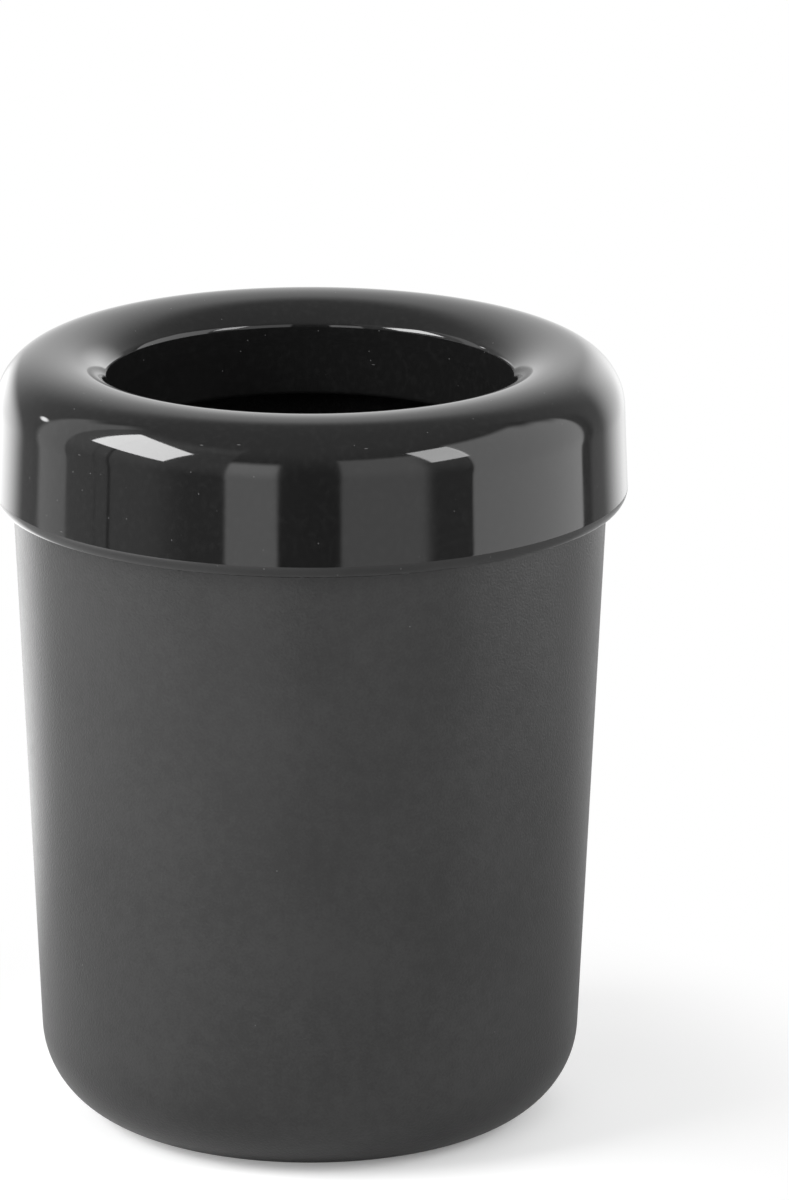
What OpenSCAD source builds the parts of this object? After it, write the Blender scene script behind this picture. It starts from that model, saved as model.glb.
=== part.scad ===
// Table-top bin: a tapered open container and a loose lid ring with a rolled top.
// The lid's skirt hangs over the container's rim, and its collar lines the mouth.
// Millimetres, +Z up. The origin is the centre of the base, on the table.

/* [Container] */
// Height of the container, from the table to its rim
container_h = 149; // [120:1:180]
// Outer diameter of the container at its rim
rim_d = 123; // [110:0.5:140]
// Lean of the container's side away from upright, in degrees
side_lean = 2.6; // [1:0.1:4]
// Thickness of the container's side
side_t = 2.4; // [1.8:0.1:3.2]
// Thickness of the container's floor
floor_t = 2.8; // [2:0.1:4]
// Radius of the rounded corner between the side and the base
base_r = 18.5; // [10:0.5:24]
// Bevel on both edges of the rim
rim_bevel = 0.5; // [0.2:0.1:0.8]
// Width of the flat foot ring that the bin stands on
foot_w = 6; // [3:0.5:9]
// Depth of the recess inside the foot ring
recess_h = 0.8; // [0.4:0.1:1.2]

/* [Lid ring] */
// Thickness of the lid's shell
lid_t = 2.4; // [1.8:0.1:3.2]
// How far the skirt hangs below the container's rim
skirt_drop = 18.5; // [10:0.5:26]
// Lean of the skirt away from upright, in degrees
skirt_lean = 2.4; // [0.5:0.1:4]
// Radius of the skirt's lower outer edge
skirt_edge_r = 3.4; // [1:0.1:5]
// How far that edge turns under, in degrees
skirt_edge_turn = 45; // [30:1:80]
// Height of the rolled top above the container's rim, and its outer radius
roll_h = 11.5; // [8:0.5:16]
// Width of the level land along the crest of the roll
crest_w = 0.3; // [0.2:0.1:2]
// Width from the crest in to the mouth
funnel_w = 11.6; // [9:0.1:15]
// Steepest slope of the funnel, just above the mouth, in degrees
funnel_slope = 40; // [25:1:55]
// Radius where the crest turns into the funnel
crest_r = 15.5; // [8:0.5:20]
// Radius where the funnel turns down into the collar
lip_r = 1.8; // [1:0.1:3]
// Depth of the collar's free edge below the crest
collar_h = 20; // [12:0.5:30]
// Lean of the collar away from upright, in degrees
collar_lean = 3; // [1:0.5:8]

/* [Fit] */
// Gap all round between the container's rim and the lid's skirt
fit_gap = 0.3; // [0.1:0.05:0.8]
// Width of the lid's seat rib on the rim
seat_w = 1.9; // [1:0.1:2.4]

/* [Hidden] */
$fn = 120;

satin_black = "#2b2b2b";
gloss_black = "#161616";

// Distance between two points of a round stretch, and its least number of steps
arc_chord = 1.2;
arc_steps = 6;
// Shortest straight stretch kept beside a rounding
least_flat = 0.2;

// Directions in the section, where the first axis runs out from the centre line
outward = [1, 0];
up = [0, 1];

// Container: its side, floor and foot
rim_r = rim_d / 2;
side_dir = turned(up, -side_lean);
rim_out = [rim_r, container_h];
rim_in = rim_out - [side_t / cos(side_lean), 0];
floor_z = recess_h + floor_t;
inside_r = max(base_r - side_t, least_flat);
base_centre = meet_in([0, 0], outward, rim_out, side_dir, base_r);
inside_centre = meet_in([0, floor_z], outward, rim_in, side_dir, inside_r);
recess_r = base_centre.x - foot_w;

// Lid: heights
seat_z = container_h;
crest_z = seat_z + roll_h;
edge_z = seat_z - skirt_drop;
collar_end_z = crest_z - collar_h;

// Lid: the directions of its faces, going up the skirt, over the crest and down the mouth
skirt_dir = turned(up, skirt_lean);
funnel_dir = turned(-outward, funnel_slope);
collar_dir = turned(-up, -collar_lean);

// Lid: skirt and roll
skirt_in = [rim_r + fit_gap, seat_z];
skirt_out = skirt_in + [lid_t / cos(skirt_lean), 0];
skirt_end_in = meet(skirt_in, skirt_dir, [0, edge_z], outward);
edge_dir = turned(outward, skirt_edge_turn);
edge_r = min(skirt_edge_r, (lid_t - least_flat) / (1 - cos(skirt_edge_turn)));
edge_level = edge_z + edge_r * cos(skirt_edge_turn);
edge_centre = meet([0, edge_level], outward, skirt_out + edge_r * left(skirt_dir), skirt_dir);
roll_centre = meet_in(skirt_out, skirt_dir, [0, crest_z], -outward, roll_h);
roof_r = roll_h - lid_t;

// Lid: funnel and collar
lip_turn = tan(turn(funnel_dir, collar_dir) / 2);
lip_room = (lid_t * lip_turn + least_flat) * cos(funnel_slope);
crest_fit = min(crest_r, (funnel_w - crest_w - lip_room) / sin(funnel_slope));
crest_centre = [roll_centre.x - crest_w, crest_z - crest_fit];
funnel_start = crest_centre - crest_fit * left(funnel_dir);
mouth_r = roll_centre.x - funnel_w;
lip = meet(funnel_start, funnel_dir, [mouth_r, 0], up);
lip_fit = min(lip_r, (norm(lip - funnel_start) - least_flat) / lip_turn);
lip_centre = meet_in(funnel_start, funnel_dir, lip, collar_dir, lip_fit);
lip_back = meet_in(funnel_start, funnel_dir, lip, collar_dir, lid_t);
bead_r = lid_t / 2;
bead_centre = meet_in(lip, collar_dir, [0, collar_end_z], outward, bead_r);

// Lid: seat rib, which reaches from the roof of the roll down to the rim
rib_in_r = rim_r - seat_w;
rib_out = rib_in_r - roll_centre.x;
rib_dir = [-sqrt(roof_r ^ 2 - rib_out ^ 2), rib_out] / roof_r;

// Direction d turned to the left by an angle, and by a right angle
function turned(d, angle) = [d.x * cos(angle) - d.y * sin(angle), d.x * sin(angle) + d.y * cos(angle)];
function left(d) = [-d.y, d.x];

// Angle through which direction a turns to the left into direction b
function turn(a, b) = atan2(cross(a, b), a * b);

// Where the line through p along a meets the line through q along b
function meet(p, a, q, b) = p + a * cross(q - p, b) / cross(a, b);

// Where the same two lines meet once each is shifted to its left by d
function meet_in(p, a, q, b, d) = meet(p + d * left(a), a, q + d * left(b), b);

// A round stretch about c, to the right of it, along which direction a turns into direction b
function arc(c, r, a, b) =
    let (angle = turn(a, b), steps = ceil(r * abs(angle) * PI / 180 / arc_chord), n = max(arc_steps, steps))
    [for (i = [0 : n]) c - r * left(turned(a, angle * i / n))];

// The back of a rounding in the lid's shell, or its bare corner where the shell is too thick for one
function shell_back(c, r, a, b, corner) = r > lid_t ? arc(c, r - lid_t, a, b) : [corner];

module container_section() {
    foot = [[0, recess_h], [recess_r - recess_h, recess_h], [recess_r, 0]];
    outside = arc(base_centre, base_r, outward, side_dir);
    rim = [rim_out - rim_bevel * side_dir, rim_out - rim_bevel * outward,
           rim_in + rim_bevel * outward, rim_in - rim_bevel * side_dir];
    inside = arc(inside_centre, inside_r, side_dir, outward);
    polygon([each foot, each outside, each rim, each inside, [0, floor_z]]);
}

module lid_section() {
    skirt = arc(edge_centre, edge_r, edge_dir, skirt_dir);
    roll = arc(roll_centre, roll_h, skirt_dir, -outward);
    crest = arc(crest_centre, crest_fit, -outward, funnel_dir);
    mouth = arc(lip_centre, lip_fit, funnel_dir, collar_dir);
    bead = arc(bead_centre, bead_r, collar_dir, -collar_dir);
    mouth_back = shell_back(lip_centre, lip_fit, collar_dir, funnel_dir, lip_back);
    crest_back = shell_back(crest_centre, crest_fit, funnel_dir, -outward, crest_centre);
    roof = arc(roll_centre, roof_r, -outward, rib_dir);
    rib = [[rib_in_r, seat_z], skirt_in];
    polygon([each skirt, each roll, each crest, each mouth, each bead,
             each mouth_back, each crest_back, each roof, each rib, skirt_end_in]);
}

module container() {
    color(satin_black) rotate_extrude() container_section();
}

module lid_ring() {
    color(gloss_black) rotate_extrude() lid_section();
}

container();
lid_ring();
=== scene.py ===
"""Table-top bin in Blender: a satin container and a glossy lid ring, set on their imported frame."""

import math
from collections import namedtuple

import bpy
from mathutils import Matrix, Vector


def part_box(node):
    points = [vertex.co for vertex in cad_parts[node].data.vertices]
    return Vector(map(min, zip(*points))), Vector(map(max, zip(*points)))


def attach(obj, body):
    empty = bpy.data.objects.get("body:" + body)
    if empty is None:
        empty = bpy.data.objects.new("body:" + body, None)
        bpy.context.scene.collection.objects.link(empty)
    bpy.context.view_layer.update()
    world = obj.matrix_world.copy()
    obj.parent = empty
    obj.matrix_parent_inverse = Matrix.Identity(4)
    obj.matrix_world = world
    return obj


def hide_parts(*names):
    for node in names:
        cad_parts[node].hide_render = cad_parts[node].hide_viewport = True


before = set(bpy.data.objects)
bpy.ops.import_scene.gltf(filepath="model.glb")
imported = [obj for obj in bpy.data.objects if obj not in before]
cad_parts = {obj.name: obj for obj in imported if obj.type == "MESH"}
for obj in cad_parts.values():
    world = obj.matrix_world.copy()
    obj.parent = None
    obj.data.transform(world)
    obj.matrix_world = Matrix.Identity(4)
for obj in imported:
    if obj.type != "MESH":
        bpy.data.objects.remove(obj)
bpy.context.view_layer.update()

bl_info = {
    "name": "Table-top Bin",
    "version": (1, 0, 0),
    "blender": (4, 5, 0),
    "location": "3D View > Sidebar > Bin",
    "description": "Models a round table-top bin with a lift-off lid ring, and a plain stage for it",
    "category": "Add Mesh",
}

PHOTO_WIDTH = 789
PHOTO_HEIGHT = 1200
DEGREES_PER_RADIAN = math.degrees(1)

# Directions in a half section, which lies in the XZ plane with X running out from the centre line
OUTWARD = Vector((1, 0))
UP = Vector((0, 1))

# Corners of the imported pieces, which give their heights and the radius of the rim
CONTAINER_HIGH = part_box("container")[1]
LID_LOW, LID_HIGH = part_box("lid_ring")


def length(name, description, default):
    """A size in metres that a user can change."""
    return bpy.props.FloatProperty(
        name=name, description=description, default=default, min=0, unit="LENGTH", precision=5)


def angle(name, description, degrees):
    """An angle that a user can change, given here in degrees."""
    return bpy.props.FloatProperty(
        name=name, description=description, default=math.radians(degrees), subtype="ANGLE")


def grey(name, description, value):
    """A neutral colour that a user can change."""
    return bpy.props.FloatVectorProperty(
        name=name, description=description, default=(value, value, value), subtype="COLOR", min=0, max=1)


def power(name, description, watts):
    """A lamp's power that a user can change."""
    return bpy.props.FloatProperty(name=name, description=description, default=watts, min=0, unit="POWER")


def number(name, description, default):
    """A plain number from 0 upwards that a user can change."""
    return bpy.props.FloatProperty(name=name, description=description, default=default, min=0)


class ContainerSettings(bpy.types.PropertyGroup):
    """Sizes and colours of the container."""

    height: length("Height", "From the table to the rim", CONTAINER_HIGH[2])
    rim_radius: length("Rim Radius", "Outer radius at the rim", CONTAINER_HIGH[0])
    side_lean: angle("Side Lean", "Lean of the side away from upright", 2.6)
    side: length("Side Thickness", "Thickness of the side", 0.0024)
    floor: length("Floor Thickness", "Thickness of the floor", 0.0028)
    base_radius: length("Base Radius", "Radius between the side and the base", 0.0185)
    rim_round: length("Rim Rounding", "Radius along both edges of the rim", 0.0007)
    foot: length("Foot Width", "Width of the foot ring that the bin stands on", 0.006)
    recess: length("Recess Depth", "Depth of the recess inside the foot ring", 0.0008)
    gate_radius: length("Gate Radius", "Radius of the moulding gate's dimple under the base", 0.0035)
    gate_depth: length("Gate Depth", "Depth of the moulding gate's dimple", 0.0004)
    colour: grey("Colour", "Colour of the satin plastic", 0.016)
    dust: grey("Dust", "Colour of dust and rubbed places", 0.30)


class LidSettings(bpy.types.PropertyGroup):
    """Sizes and colours of the lid ring."""

    crest_height: length("Crest Height", "From the table to the crest of the roll", LID_HIGH[2])
    edge_height: length("Edge Height", "From the table to the skirt's lower edge", LID_LOW[2])
    shell: length("Shell Thickness", "Thickness of the lid's shell", 0.0024)
    fit_gap: length("Fit Gap", "Gap between the container's rim and the skirt", 0.0003)
    skirt_lean: angle("Skirt Lean", "Lean of the skirt away from upright", 2.4)
    edge_round: length("Edge Rounding", "Radius of the skirt's lower outer edge", 0.0034)
    edge_turn: angle("Edge Turn", "How far that edge turns under", 45)
    edge_break: length("Edge Break", "Radius where that edge meets the flat underside", 0.0003)
    crest_land: length("Crest Land", "Width of the level land along the crest", 0.0003)
    funnel_width: length("Funnel Width", "Width from the crest in to the mouth", 0.0116)
    funnel_slope: angle("Funnel Slope", "Steepest slope of the funnel, just above the mouth", 40)
    crest_round: length("Crest Rounding", "Radius where the crest turns into the funnel", 0.0155)
    lip_round: length("Lip Rounding", "Radius where the funnel turns down into the collar", 0.0018)
    collar_depth: length("Collar Depth", "From the crest down to the collar's free edge", 0.020)
    collar_lean: angle("Collar Lean", "Lean of the collar away from upright", 3)
    seat: length("Seat Width", "Width of the seat rib on the container's rim", 0.0019)
    colour: grey("Colour", "Colour of the glossy plastic", 0.008)
    dust: grey("Dust", "Colour of dust, haze and fine scratches", 0.35)


class StageSettings(bpy.types.PropertyGroup):
    """The table, the lamps and the camera."""

    table_radius: length("Table Radius", "Radius of the round table top", 0.5)
    table_colour: grey("Table Colour", "Colour of the table top", 0.82)
    table_lift: number("Table Lift", "Light added to the table where it is seen, close to the bin", 0.32)
    key_power: power("Key Power", "Power of the large lamp on the left", 18.5)
    fill_power: power("Fill Power", "Power of the small lamp on the right", 3.5)
    lamp_distance: length("Lamp Distance", "From the lid to each lamp", 1.2)
    camera_rise: angle("Camera Rise", "How far the camera looks down", 15.94)
    camera_distance: length("Camera Distance", "From the camera to the point it looks at", 1.7366)
    aim_height: length("Aim Height", "Height of the point that the camera looks at", 0.10776)
    focal_length: bpy.props.FloatProperty(
        name="Focal Length", description="Lens, in millimetres", default=254.3, min=1, unit="CAMERA")
    axis_pixel: number("Axis Pixel", "Column of the photograph on which the bin's axis stands", 310)


def turned(direction, by):
    """A direction in the section, turned to the left by an angle."""
    return Vector((
        direction.x * math.cos(by) - direction.y * math.sin(by),
        direction.x * math.sin(by) + direction.y * math.cos(by)))


def left(direction):
    """A direction in the section, turned to the left by a right angle."""
    return Vector((-direction.y, direction.x))


def cross(a, b):
    """How far direction b lies to the left of direction a."""
    return a.x * b.y - a.y * b.x


def turn_between(a, b):
    """Angle through which direction a turns to the left into direction b."""
    return math.atan2(cross(a, b), a.dot(b))


def meet(p, a, q, b):
    """Where the line through p along a meets the line through q along b."""
    return p + a * (cross(q - p, b) / cross(a, b))


def meet_in(p, a, q, b, inset):
    """Where the same two lines meet once each is shifted to its left."""
    return meet(p + left(a) * inset, a, q + left(b) * inset, b)


class SectionPen:
    """Draws a half section with mesh operators, stretch by stretch, and turns it into a body."""

    ARC_STEP = math.radians(2.5)
    LEAST_ARC_STEPS = 6
    LINE_STEP = 0.002
    TURN_STEPS = 240
    MERGE_DISTANCE = 0.000002
    SHARP_ANGLE = math.radians(35)

    def __init__(self, name, start):
        bpy.ops.object.select_all(action="DESELECT")
        bpy.ops.mesh.primitive_plane_add(size=self.LINE_STEP)
        self.piece = bpy.context.object
        self.piece.name = name
        self.piece.data.name = name
        bpy.ops.object.mode_set(mode="EDIT")
        bpy.ops.mesh.select_all(action="SELECT")
        bpy.ops.mesh.merge(type="CENTER")
        bpy.ops.transform.translate(value=(start.x, 0, start.y))
        self.start = start
        self.place = start

    def line(self, end):
        """A straight stretch, in steps short enough to keep its shading straight."""
        way = end - self.place
        steps = max(1, math.ceil(way.length / self.LINE_STEP))
        for _ in range(steps):
            bpy.ops.mesh.extrude_vertices_move(
                TRANSFORM_OT_translate={"value": (way.x / steps, 0, way.y / steps)})
        self.place = end

    def arc(self, centre, radius, a, b):
        """A round stretch along which direction a turns into direction b, after a line up to it."""
        self.line(centre - left(a) * radius)
        by = turn_between(a, b)
        steps = max(self.LEAST_ARC_STEPS, math.ceil(abs(by) / self.ARC_STEP))
        bpy.ops.mesh.spin(steps=steps, angle=by, center=(centre.x, 0, centre.y), axis=(0, 1, 0))
        self.place = centre - left(b) * radius

    def close(self):
        """A line back to where the section began."""
        self.line(self.start)

    def body(self):
        """The body of revolution: the section spun about the centre line, its seam and poles merged."""
        bpy.ops.mesh.select_all(action="SELECT")
        bpy.ops.mesh.spin(steps=self.TURN_STEPS, angle=math.tau, center=(0, 0, 0), axis=(0, 0, 1))
        bpy.ops.mesh.select_all(action="SELECT")
        bpy.ops.mesh.remove_doubles(threshold=self.MERGE_DISTANCE)
        bpy.ops.mesh.normals_make_consistent(inside=False)
        bpy.ops.object.mode_set(mode="OBJECT")
        bpy.ops.object.shade_smooth_by_angle(angle=self.SHARP_ANGLE)
        return self.piece


def fill(entry, value):
    """Links a wire to a node's input, or sets the input to a plain value."""
    if isinstance(value, Wire):
        entry.id_data.links.new(value.socket, entry)
    else:
        entry.default_value = value


class Wire:
    """A node's output. An expression of wires and numbers adds its Math nodes, and added() any other node."""

    # Places of the colour sockets on a Mix node, where several sockets share a name
    MIX_FACTOR, MIX_A, MIX_B, MIX_RESULT = 0, 6, 7, 2

    def __init__(self, socket):
        self.socket = socket

    @classmethod
    def added(cls, tree, kind, inputs=None, output=0, **settings):
        """Adds a node, sets it up, fills its inputs by name or number and gives one of its outputs."""
        made = tree.nodes.new(kind)
        for name, value in settings.items():
            setattr(made, name, value)
        for key, value in (inputs or {}).items():
            fill(made.inputs[key], value)
        return cls(made.outputs[output])

    def node(self, kind, inputs=None, output=0, **settings):
        """Adds a node to the same tree."""
        return self.added(self.socket.id_data, kind, inputs, output, **settings)

    def maths(self, operation, first, second=0.0):
        """A Math node."""
        return self.node("ShaderNodeMath", {0: first, 1: second}, operation=operation)

    def __add__(self, other):
        return self.maths("ADD", self, other)

    __radd__ = __add__

    def __sub__(self, other):
        return self.maths("SUBTRACT", self, other)

    def __rsub__(self, other):
        return self.maths("SUBTRACT", other, self)

    def __mul__(self, other):
        return self.maths("MULTIPLY", self, other)

    __rmul__ = __mul__

    def __truediv__(self, other):
        return self.maths("DIVIDE", self, other)

    def __rtruediv__(self, other):
        return self.maths("DIVIDE", other, self)

    def __gt__(self, other):
        return self.maths("GREATER_THAN", self, other)

    def __lt__(self, other):
        return self.maths("LESS_THAN", self, other)

    def ramp(self, low, high):
        """A smooth rise from 0 at one value to 1 at another."""
        return self.node(
            "ShaderNodeMapRange", {"Value": self, "From Min": low, "From Max": high},
            interpolation_type="SMOOTHSTEP")

    def between(self, low, high, low_edge, high_edge):
        """1 between two values, falling smoothly to 0 past them."""
        above = self.ramp(low - low_edge, low + low_edge)
        return above * (1 - self.ramp(high - high_edge, high + high_edge))

    def mix(self, colour_a, colour_b):
        """Colour a where this wire is 0, colour b where it is 1."""
        colours = {self.MIX_FACTOR: self, self.MIX_A: colour_a, self.MIX_B: colour_b}
        return self.node("ShaderNodeMix", colours, self.MIX_RESULT, data_type="RGBA")

    def bump(self, depth, **under):
        """A normal bumped by this wire to a depth in metres, over another where one is given as Normal."""
        return self.node("ShaderNodeBump", {"Height": self, "Strength": 1.0, "Distance": depth, **under})

    def axis(self, name):
        """One axis of coordinates."""
        return self.node("ShaderNodeSeparateXYZ", {0: self}, name)

    def azimuth(self):
        """Azimuth of coordinates round the bin's axis, in degrees: 0 on the camera's side, right positive."""
        return self.maths("ARCTAN2", self.axis("X"), self.axis("Y") * -1) * DEGREES_PER_RADIAN

    def noise(self, size, detail=2.0):
        """Even noise on coordinates, with features of a size in metres."""
        return self.node("ShaderNodeTexNoise", {"Vector": self, "Scale": 1 / size, "Detail": detail})

    def specks(self, spacing, size, kept):
        """Round specks on coordinates: their spacing and radius in metres, and the share that is kept."""
        cells = {"Vector": self, "Scale": 1 / spacing}
        nearness = self.node("ShaderNodeTexVoronoi", cells, "Distance")
        chance = self.node("ShaderNodeTexVoronoi", cells, "Color").red()
        reach = size / spacing
        return (1 - nearness.ramp(reach / 2, reach)) * (chance > 1 - kept)

    def stretched(self, by, tilt):
        """Coordinates on which features are drawn out round the centre line, and tilted by radians."""
        change = {"Vector": self, "Rotation": (tilt, tilt, 0), "Scale": (by, by, 1)}
        return self.node("ShaderNodeMapping", change)

    def red(self):
        """The red share of a colour."""
        return self.node("ShaderNodeSeparateColor", {0: self}, "Red")


# Both plastics: their index of refraction, the size of the rubbed patches along an edge, in metres, and
# the noise over which these patches show
PLASTIC_IOR = 1.5
RUB_SIZE, RUB_PATCHES = 0.0015, (0.45, 0.75)

# How far each kind of wear takes on the colour of dust
Wear = namedtuple("Wear", "dust scuffs rubbed")
SATIN_WEAR = Wear(dust=0.3, scuffs=0.12, rubbed=0.2)
GLOSS_WEAR = Wear(dust=0.3, scuffs=0.3, rubbed=0.1)

# Satin plastic: features, the grain's depth and the heights rubbed at the foot and the rim, in metres
CLOUD_SIZE, MOTTLE_SIZE, GRAIN_SIZE = 0.03, 0.0025, 0.0005
GRAIN_DEPTH = 0.00006
FOOT_RUB, RIM_RUB = 0.0012, 0.0008

# Its darkest and lightest tones as shares of its colour, the noise over which they change, and its
# roughness with what the clouds and the mottle add
SATIN_DARK, SATIN_LIGHT = 0.7, 1.3
TONE_REACH = (0.35, 0.65)
SATIN_ROUGHNESS, CLOUD_ROUGHNESS, MOTTLE_ROUGHNESS = 0.28, 0.04, 0.08

# Gloss plastic: features, the ripple's and peel's depths and the height rubbed at the edge, in metres
RIPPLE_SIZE, PEEL_SIZE, SMUDGE_SIZE, HAZE_SIZE = 0.022, 0.0025, 0.018, 0.0012
RIPPLE_DEPTH, PEEL_DEPTH = 0.00003, 0.0000006
EDGE_RUB = 0.0006

# The noise over which its smudges and its haze show, how far the haze takes on the colour of dust, and its
# roughness with what the smudges and the dust add
SMUDGE_REACH, HAZE_REACH = (0.45, 0.8), (0.45, 0.75)
HAZE_SHARE = 0.010
GLOSS_ROUGHNESS, SMUDGE_ROUGHNESS, DUST_ROUGHNESS = 0.05, 0.05, 0.4


def start_material(name):
    """A material, its Principled shader, and a wire of its Object coordinates."""
    material = bpy.data.materials.new(name)
    material.use_nodes = True
    tree = material.node_tree
    return material, tree.nodes["Principled BSDF"], Wire.added(tree, "ShaderNodeTexCoord", output="Object")


def opaque(colour, share=1):
    """A colour setting, or a share of it, as a node colour."""
    return (*(share * value for value in colour), 1)


def pale_wear(place, wear, dust, scuffs, edges):
    """How far dust, scuffs and rubbed patches along the edges make a surface pale."""
    rubbed = edges * place.noise(RUB_SIZE).ramp(*RUB_PATCHES)
    return dust * wear.dust + scuffs * wear.scuffs + rubbed * wear.rubbed


def satin_plastic(settings):
    """Moulded black plastic with a fine spark-eroded grain, faint clouding and a little dust."""
    material, shader, place = start_material("satin_plastic")
    clouds = place.noise(CLOUD_SIZE)
    mottle = place.noise(MOTTLE_SIZE, detail=4)
    grain = place.noise(GRAIN_SIZE, detail=1)
    dust = place.specks(spacing=0.0022, size=0.00018, kept=0.015)
    scuffs = place.stretched(by=0.2, tilt=0.25).specks(spacing=0.002, size=0.0001, kept=0.06)
    at_foot = 1 - place.axis("Z").ramp(0, FOOT_RUB)
    at_rim = place.axis("Z").ramp(settings.height - RIM_RUB, settings.height)
    pale = pale_wear(place, SATIN_WEAR, dust, scuffs, at_foot + at_rim)
    tone = ((clouds + mottle + grain) / 3).ramp(*TONE_REACH).mix(
        opaque(settings.colour, SATIN_DARK), opaque(settings.colour, SATIN_LIGHT))
    roughness = SATIN_ROUGHNESS + clouds * CLOUD_ROUGHNESS + mottle * MOTTLE_ROUGHNESS
    fill(shader.inputs["Base Color"], pale.mix(tone, opaque(settings.dust)))
    fill(shader.inputs["Roughness"], roughness)
    fill(shader.inputs["Normal"], grain.bump(GRAIN_DEPTH))
    fill(shader.inputs["IOR"], PLASTIC_IOR)
    return material


def gloss_plastic(settings):
    """Polished black plastic: a faint ripple in its gloss, smudges, haze, fine scratches and dust."""
    material, shader, place = start_material("gloss_plastic")
    ripple = place.noise(RIPPLE_SIZE, detail=1)
    peel = place.noise(PEEL_SIZE)
    smudges = place.noise(SMUDGE_SIZE, detail=4)
    haze = place.noise(HAZE_SIZE, detail=3)
    dust = place.specks(spacing=0.0018, size=0.00015, kept=0.2)
    scratches = place.stretched(by=0.2, tilt=0.35).specks(spacing=0.0015, size=0.00009, kept=0.15)
    at_edge = 1 - place.axis("Z").ramp(settings.edge_height, settings.edge_height + EDGE_RUB)
    pale = pale_wear(place, GLOSS_WEAR, dust, scratches, at_edge) + haze.ramp(*HAZE_REACH) * HAZE_SHARE
    roughness = GLOSS_ROUGHNESS + smudges.ramp(*SMUDGE_REACH) * SMUDGE_ROUGHNESS + dust * DUST_ROUGHNESS
    fill(shader.inputs["Base Color"], pale.mix(opaque(settings.colour), opaque(settings.dust)))
    fill(shader.inputs["Roughness"], roughness)
    fill(shader.inputs["Normal"], peel.bump(PEEL_DEPTH, Normal=ripple.bump(RIPPLE_DEPTH)))
    fill(shader.inputs["IOR"], PLASTIC_IOR)
    return material


def dress(piece, material, body, node):
    """Gives a piece its finish, and its place in the frame."""
    piece.data.materials.clear()
    piece.data.materials.append(material)
    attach(piece, body)
    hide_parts(node)


class BIN_OT_container(bpy.types.Operator):
    """Add the tapered container with its rounded base, foot ring and open rim"""

    bl_idname = "bin.container"
    bl_label = "Container"
    bl_options = {"REGISTER", "UNDO"}

    def execute(self, context):
        sizes = context.scene.bin_container
        side_dir = turned(UP, -sizes.side_lean)
        rim_out = Vector((sizes.rim_radius, sizes.height))
        rim_in = rim_out - OUTWARD * (sizes.side / math.cos(sizes.side_lean))
        floor_top = UP * (sizes.recess + sizes.floor)
        inside_radius = sizes.base_radius - sizes.side
        base = meet_in(Vector((0, 0)), OUTWARD, rim_out, side_dir, sizes.base_radius)
        inside = meet_in(floor_top, OUTWARD, rim_in, side_dir, inside_radius)
        rim_edge = meet_in(rim_out, side_dir, rim_out, -OUTWARD, sizes.rim_round)
        rim_back = meet_in(rim_in, -OUTWARD, rim_in, -side_dir, sizes.rim_round)
        foot_in = base.x - sizes.foot
        gate_top = sizes.recess + sizes.gate_depth

        pen = SectionPen("container_shell", UP * gate_top)
        pen.line(Vector((sizes.gate_radius - sizes.gate_depth, gate_top)))
        pen.line(Vector((sizes.gate_radius, sizes.recess)))
        pen.line(Vector((foot_in - sizes.recess, sizes.recess)))
        pen.line(Vector((foot_in, 0)))
        pen.arc(base, sizes.base_radius, OUTWARD, side_dir)
        pen.arc(rim_edge, sizes.rim_round, side_dir, -OUTWARD)
        pen.arc(rim_back, sizes.rim_round, -OUTWARD, -side_dir)
        pen.arc(inside, inside_radius, side_dir, OUTWARD)
        pen.line(floor_top)
        dress(pen.body(), satin_plastic(sizes), "container", "container")
        return {"FINISHED"}


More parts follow.
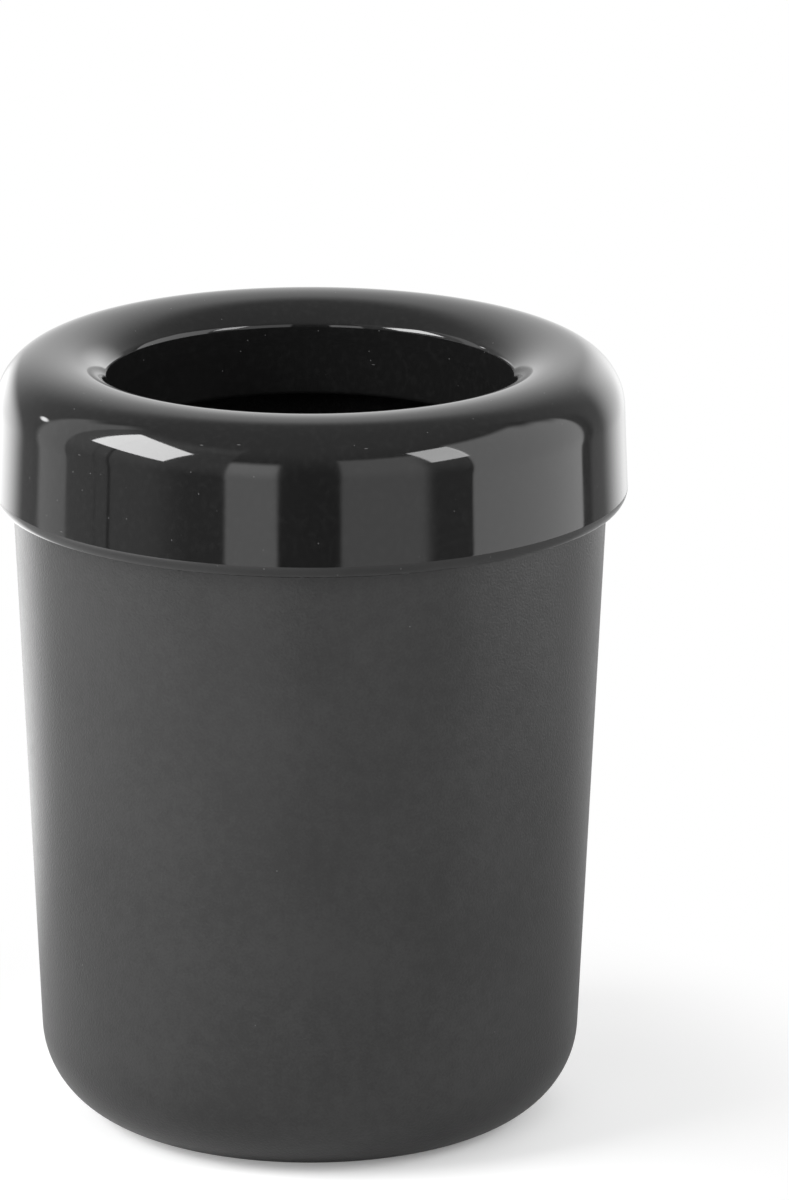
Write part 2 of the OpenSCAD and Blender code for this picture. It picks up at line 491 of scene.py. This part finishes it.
class BIN_OT_lid_ring(bpy.types.Operator):
    """Add the lid ring with its skirt, rolled top, funnel and collar"""

    bl_idname = "bin.lid_ring"
    bl_label = "Lid Ring"
    bl_options = {"REGISTER", "UNDO"}

    def execute(self, context):
        sizes = context.scene.bin_lid
        rim_radius = context.scene.bin_container.rim_radius
        seat_height = context.scene.bin_container.height
        skirt_dir = turned(UP, sizes.skirt_lean)
        funnel_dir = turned(-OUTWARD, sizes.funnel_slope)
        collar_dir = turned(-UP, -sizes.collar_lean)
        edge = UP * sizes.edge_height
        crest_top = UP * sizes.crest_height

        roll = sizes.crest_height - seat_height
        skirt_in = Vector((rim_radius + sizes.fit_gap, seat_height))
        skirt_out = skirt_in + OUTWARD * (sizes.shell / math.cos(sizes.skirt_lean))
        skirt_foot = meet(skirt_in, skirt_dir, edge, OUTWARD)
        edge_level = edge + UP * (sizes.edge_round * math.cos(sizes.edge_turn))
        edge_centre = meet(edge_level, OUTWARD, skirt_out + left(skirt_dir) * sizes.edge_round, skirt_dir)
        break_drop = edge_centre.y - sizes.edge_height - sizes.edge_break
        break_out = math.sqrt((sizes.edge_round - sizes.edge_break) ** 2 - break_drop ** 2)
        break_centre = edge_centre + Vector((break_out, -break_drop))
        break_dir = Vector((break_drop, break_out)).normalized()
        roll_centre = meet_in(skirt_out, skirt_dir, crest_top, -OUTWARD, roll)

        crest_centre = Vector((roll_centre.x - sizes.crest_land, sizes.crest_height - sizes.crest_round))
        funnel_start = crest_centre - left(funnel_dir) * sizes.crest_round
        lip = meet(funnel_start, funnel_dir, OUTWARD * (roll_centre.x - sizes.funnel_width), UP)
        lip_centre = meet_in(funnel_start, funnel_dir, lip, collar_dir, sizes.lip_round)
        lip_back = meet_in(funnel_start, funnel_dir, lip, collar_dir, sizes.shell)
        bead = sizes.shell / 2
        collar_end = UP * (sizes.crest_height - sizes.collar_depth)
        bead_centre = meet_in(lip, collar_dir, collar_end, OUTWARD, bead)

        roof = roll - sizes.shell
        rib_radius = rim_radius - sizes.seat
        rib_out = rib_radius - roll_centre.x
        rib_dir = Vector((-math.sqrt(roof ** 2 - rib_out ** 2), rib_out)) / roof

        pen = SectionPen("lid_ring_shell", skirt_foot)
        pen.arc(break_centre, sizes.edge_break, OUTWARD, break_dir)
        pen.arc(edge_centre, sizes.edge_round, break_dir, skirt_dir)
        pen.arc(roll_centre, roll, skirt_dir, -OUTWARD)
        pen.arc(crest_centre, sizes.crest_round, -OUTWARD, funnel_dir)
        pen.arc(lip_centre, sizes.lip_round, funnel_dir, collar_dir)
        pen.arc(bead_centre, bead, collar_dir, -collar_dir)
        pen.line(lip_back)
        pen.arc(crest_centre, sizes.crest_round - sizes.shell, funnel_dir, -OUTWARD)
        pen.arc(roll_centre, roof, -OUTWARD, rib_dir)
        pen.line(Vector((rib_radius, seat_height)))
        pen.line(skirt_in)
        pen.close()
        dress(pen.body(), gloss_plastic(sizes), "lid", "lid_ring")
        return {"FINISHED"}


# Kinds of ray that show a thing to the camera
SEEN_RAYS = ("Is Camera Ray", "Is Transmission Ray")

# The dim room round the bin: its light low and high up, and the rise over which it changes, in degrees
ROOM_LOW, ROOM_HIGH = 0.05, 0.35
ROOM_RISE = (10, 60)

# The pale backdrop behind the bin: its light at its ends and in its middle, and in degrees from the camera's
# side where it starts and where that light grows, and the rise at which it ends
BACKDROP_ENDS, BACKDROP_MIDDLE = 0.42, 1.15
BACKDROP_START, BACKDROP_SPREAD, BACKDROP_TOP = (112, 116), (130, 175), (42, 62)

# A card in the studio, pale or dark: its start, end and top, each with how soft it is there, in degrees, and
# its brightness at its foot and at its top. A later card covers an earlier one.
Card = namedtuple("Card", "start start_fade end end_fade top top_fade foot_light top_light")
CARDS = (
    # The pale strip on the left, in two heights
    Card(-115.5, 2, -98.5, 1, 42, 6, 1.30, 1.40),
    Card(-108, 3, -98.5, 1, 52, 5, 1.30, 1.40),
    # The wide dim card beside it, its faint seam, its dark seam and its dark end
    Card(-98.5, 1, -31, 1, 51, 6, 0.52, 0.77),
    Card(-84.4, 0.4, -83.2, 0.4, 40, 6, 0.39, 0.58),
    Card(-78, 0.4, -76.6, 0.4, 40, 6, 0.12, 0.20),
    Card(-53, 11, -31, 1, 45, 8, 0.17, 0.45),
    # The two pale cards either side of the middle, and the dark one after them
    Card(-30.5, 1, -11.5, 1, 28, 5, 1.68, 2.35),
    Card(11, 1, 44, 5, 36.5, 3, 1.08, 1.30),
    Card(45, 4, 60, 1, 30, 8, 0.20, 0.50),
    # The bright card on the right, in three heights, and the dark one at its end
    Card(61, 1, 116.5, 1, 30, 6, 2.10, 2.15),
    Card(61, 1, 112, 4, 38, 5, 2.10, 2.15),
    Card(61, 1, 104, 6, 44.5, 3, 2.10, 2.15),
    Card(116.5, 1, 123, 2, 25, 10, 0.20, 0.28),
)

# The rise over which a card's brightness goes from that of its foot to that of its top, in degrees
CARD_RISE = (-5, 17)

# A soft patch of light in the studio: its middle and its reach in degrees, and the light that it adds
Glow = namedtuple("Glow", "azimuth rise wide tall light")
GLOWS = (
    Glow(-148, -6, 23.5, 19, 2.9),
    Glow(152, 0, 23, 27, 1.3),
    Glow(-119, 17.5, 3.5, 2.8, 10.0),
)

# The table top's shape and finish
TABLE_SIDES = 128
TABLE_ROUGHNESS = 0.9

# How the table shows in reflections: painted shade makes it dimmer near the bin and on the right, over
# distances in metres
NEAR_REACH, NEAR_PAINTED_SHADE = (0.08, 0.40), 0.14
RIGHT_REACH, RIGHT_PAINTED_SHADE = (-0.12, 0.08), 0.22

# A part of the table with painted light, brighter in reflections only: its sides and how soft they are, in
# degrees, the distances over which it grows, in metres, and the light that it adds
TableGlow = namedtuple("TableGlow", "start end edge near far light")
TABLE_GLOWS = (
    TableGlow(-160, -130, 10, 0.095, 0.235, 1.55),
    TableGlow(-92, -42, 14, 0.22, 0.48, 1.05),
)

# How the table shows to the camera: its white grows away from the bin, and its lift fades where the bin
# stands, a little further out on the right, over distances in metres
VEIL_REACH = (0.04, 0.13)
CONTACT_REACH, CONTACT_LEAN = (0.028, 0.048), 0.12

# A lamp round the bin: its middle and its spread in degrees, and how it is turned about its upright axis,
# away from facing the bin, and then in its own plane
Lamp = namedtuple("Lamp", "name azimuth rise width height swing turn")
KEY_LAMP = Lamp("key_lamp", -64.5, 29.5, 36, 25, -32, -16)
FILL_LAMP = Lamp("fill_lamp", 51, 30, 15, 22, 0, 6)

WHITE = (1, 1, 1, 1)
BLACK = (0, 0, 0, 1)


def on_rays(tree, first, *others):
    """1 on some kinds of ray and 0 on all others."""
    share = Wire.added(tree, "ShaderNodeLightPath", output=first)
    for ray in others:
        share = share + Wire.added(tree, "ShaderNodeLightPath", output=ray)
    return share


def light_studio():
    """White to the camera, and for light a dim room with a pale backdrop, cards and soft patches of light."""
    world = bpy.data.worlds.new("studio")
    world.use_nodes = True
    tree = world.node_tree
    direction = Wire.added(tree, "ShaderNodeTexCoord", output="Generated")
    azimuth = direction.azimuth()
    rise = direction.maths("ARCSINE", direction.axis("Z")) * DEGREES_PER_RADIAN

    light = ROOM_LOW + rise.ramp(*ROOM_RISE) * (ROOM_HIGH - ROOM_LOW)
    behind = direction.maths("ABSOLUTE", azimuth)
    backdrop = BACKDROP_ENDS + behind.ramp(*BACKDROP_SPREAD) * (BACKDROP_MIDDLE - BACKDROP_ENDS)
    shown = behind.ramp(*BACKDROP_START) * (1 - rise.ramp(*BACKDROP_TOP))
    light = light * (1 - shown) + backdrop * shown
    for card in CARDS:
        wide = azimuth.between(card.start, card.end, card.start_fade, card.end_fade)
        shown = wide * (1 - rise.ramp(card.top - card.top_fade, card.top + card.top_fade))
        own = card.foot_light + rise.ramp(*CARD_RISE) * (card.top_light - card.foot_light)
        light = light * (1 - shown) + own * shown
    for glow in GLOWS:
        out = (azimuth - glow.azimuth) / glow.wide
        over = (rise - glow.rise) / glow.tall
        light = light + (1 - (out * out + over * over).ramp(0, 1)) * glow.light

    seen = on_rays(tree, *SEEN_RAYS)
    background = tree.nodes["Background"].inputs
    fill(background["Strength"], seen + (1 - seen) * light)
    fill(background["Color"], WHITE)
    return world


def table_white(settings):
    """The table's finish: pale, white to the camera away from the bin, but with the bin's shadow; in
    reflections, painted shade near the bin and on the right, and painted light in two parts on the left.
    """
    material, shader, place = start_material("table_white")
    tree = material.node_tree
    mirrored = on_rays(tree, "Is Glossy Ray")
    seen = on_rays(tree, *SEEN_RAYS)
    azimuth = place.azimuth()
    radius = place.node("ShaderNodeVectorMath", {0: place}, "Value", operation="LENGTH")
    near = 1 - radius.ramp(*NEAR_REACH)
    far = radius.ramp(*VEIL_REACH)
    # Painted shade, seen only in reflections: the table darker near the bin and on the right
    painted_shade = mirrored * (near * NEAR_PAINTED_SHADE + place.axis("X").ramp(*RIGHT_REACH) * RIGHT_PAINTED_SHADE)
    close = (radius - place.axis("X") * CONTACT_LEAN).ramp(*CONTACT_REACH) * (1 - far)
    lift = seen * close * settings.table_lift
    # Painted light in reflections: two parts of the table on the left glow, though no lamp lights them
    for part in TABLE_GLOWS:
        wide = azimuth.between(part.start, part.end, part.edge, part.edge)
        lift = lift + mirrored * wide * radius.ramp(part.near, part.far) * part.light

    # The painted shade takes the table's colour towards black in reflections
    fill(shader.inputs["Base Color"], painted_shade.mix(opaque(settings.table_colour), BLACK))
    fill(shader.inputs["Roughness"], TABLE_ROUGHNESS)
    fill(shader.inputs["Emission Color"], lift)
    fill(shader.inputs["Emission Strength"], 1)
    white = place.node("ShaderNodeEmission", {"Color": WHITE, "Strength": 1})
    veiled = place.node("ShaderNodeMixShader", {0: seen * far, 1: Wire(shader.outputs[0]), 2: white})
    fill(tree.nodes["Material Output"].inputs["Surface"], veiled)
    return material


def add_table(settings):
    """The round table top that the bin stands on."""
    bpy.ops.object.select_all(action="DESELECT")
    bpy.ops.mesh.primitive_circle_add(vertices=TABLE_SIDES, radius=settings.table_radius, fill_type="NGON")
    table = bpy.context.object
    table.name = "table_top"
    table.data.materials.append(table_white(settings))


def round_the_bin(azimuth, rise, distance, height):
    """A place at an azimuth and a rise from a point on the bin's axis, and the turn that faces that point."""
    out = Vector((
        math.sin(azimuth) * math.cos(rise), -math.cos(azimuth) * math.cos(rise), math.sin(rise)))
    return Vector((0, 0, height)) + out * distance, out.to_track_quat("Z", "Y").to_euler()


def add_lamp(lamp, watts, distance):
    """A rectangular soft lamp at a distance from the lid."""
    place, turn = round_the_bin(
        math.radians(lamp.azimuth), math.radians(lamp.rise), distance, LID_HIGH[2])
    turn.rotate_axis("Y", math.radians(lamp.swing))
    turn.rotate_axis("Z", math.radians(lamp.turn))
    bpy.ops.object.light_add(type="AREA", location=place, rotation=turn)
    bpy.context.object.name = lamp.name
    light = bpy.context.object.data
    light.shape = "RECTANGLE"
    light.size = 2 * distance * math.tan(math.radians(lamp.width) / 2)
    light.size_y = 2 * distance * math.tan(math.radians(lamp.height) / 2)
    light.energy = watts


class BIN_OT_stage(bpy.types.Operator):
    """Add the table top, the lamps, the studio round them and the camera"""

    bl_idname = "bin.stage"
    bl_label = "Stage"
    bl_options = {"REGISTER", "UNDO"}

    def execute(self, context):
        scene = context.scene
        stage = scene.bin_stage
        scene.view_settings.view_transform = "Standard"
        add_table(stage)
        scene.world = light_studio()
        add_lamp(KEY_LAMP, stage.key_power, stage.lamp_distance)
        add_lamp(FILL_LAMP, stage.fill_power, stage.lamp_distance)

        place, turn = round_the_bin(0, stage.camera_rise, stage.camera_distance, stage.aim_height)
        bpy.ops.object.camera_add(location=place, rotation=turn)
        camera = context.object
        camera.data.lens = stage.focal_length
        camera.data.shift_x = (PHOTO_WIDTH / 2 - stage.axis_pixel) / PHOTO_HEIGHT
        scene.camera = camera
        return {"FINISHED"}


class BIN_PT_panel(bpy.types.Panel):
    """Lists the bin's pieces and its stage"""

    bl_idname = "BIN_PT_panel"
    bl_label = "Table-top Bin"
    bl_space_type = "VIEW_3D"
    bl_region_type = "UI"
    bl_category = "Bin"

    def draw(self, context):
        for operator, settings in (
                (BIN_OT_container, context.scene.bin_container),
                (BIN_OT_lid_ring, context.scene.bin_lid),
                (BIN_OT_stage, context.scene.bin_stage)):
            box = self.layout.box()
            box.operator(operator.bl_idname)
            for name in settings.__annotations__:
                box.prop(settings, name)


CLASSES = (
    ContainerSettings, LidSettings, StageSettings,
    BIN_OT_container, BIN_OT_lid_ring, BIN_OT_stage, BIN_PT_panel,
)


def register():
    """Adds the classes to Blender, and their settings to its scenes."""
    for cls in CLASSES:
        bpy.utils.register_class(cls)
    bpy.types.Scene.bin_container = bpy.props.PointerProperty(type=ContainerSettings)
    bpy.types.Scene.bin_lid = bpy.props.PointerProperty(type=LidSettings)
    bpy.types.Scene.bin_stage = bpy.props.PointerProperty(type=StageSettings)


def unregister():
    """Takes them out again."""
    del bpy.types.Scene.bin_stage
    del bpy.types.Scene.bin_lid
    del bpy.types.Scene.bin_container
    for cls in reversed(CLASSES):
        bpy.utils.unregister_class(cls)


def main():
    """Builds the stage and both pieces."""
    register()
    bpy.ops.bin.stage()
    bpy.ops.bin.container()
    bpy.ops.bin.lid_ring()


if __name__ == "__main__":
    main()
